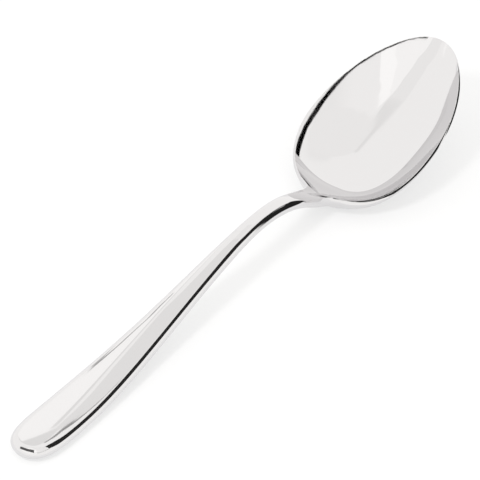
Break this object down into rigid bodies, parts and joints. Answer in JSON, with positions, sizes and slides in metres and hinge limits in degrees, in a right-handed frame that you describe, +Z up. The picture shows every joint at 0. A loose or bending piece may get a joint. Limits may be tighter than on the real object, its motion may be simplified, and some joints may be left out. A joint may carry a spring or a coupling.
{
  "type": "tablespoon",
  "caption": "Mirror-polished steel tablespoon with an egg-shaped bowl, a slender arched neck and a handle that widens to a round end, for eating and serving.",
  "frame": {"origin": "middle of the spoon's box, on the table that it lies on", "axes": "+X from the handle's end to the bowl's tip, +Z up out of the open bowl, and the spoon is alike on both sides of the XZ plane"},
  "size_m": [0.2, 0.0448, 0.0298],
  "materials": {
    "polished_steel": "mirror-polished stainless steel"
  },
  "bodies": {
    "root": {"handle": "polished_steel", "neck": "polished_steel", "bowl": "polished_steel"}
  },
  "joints": []
}
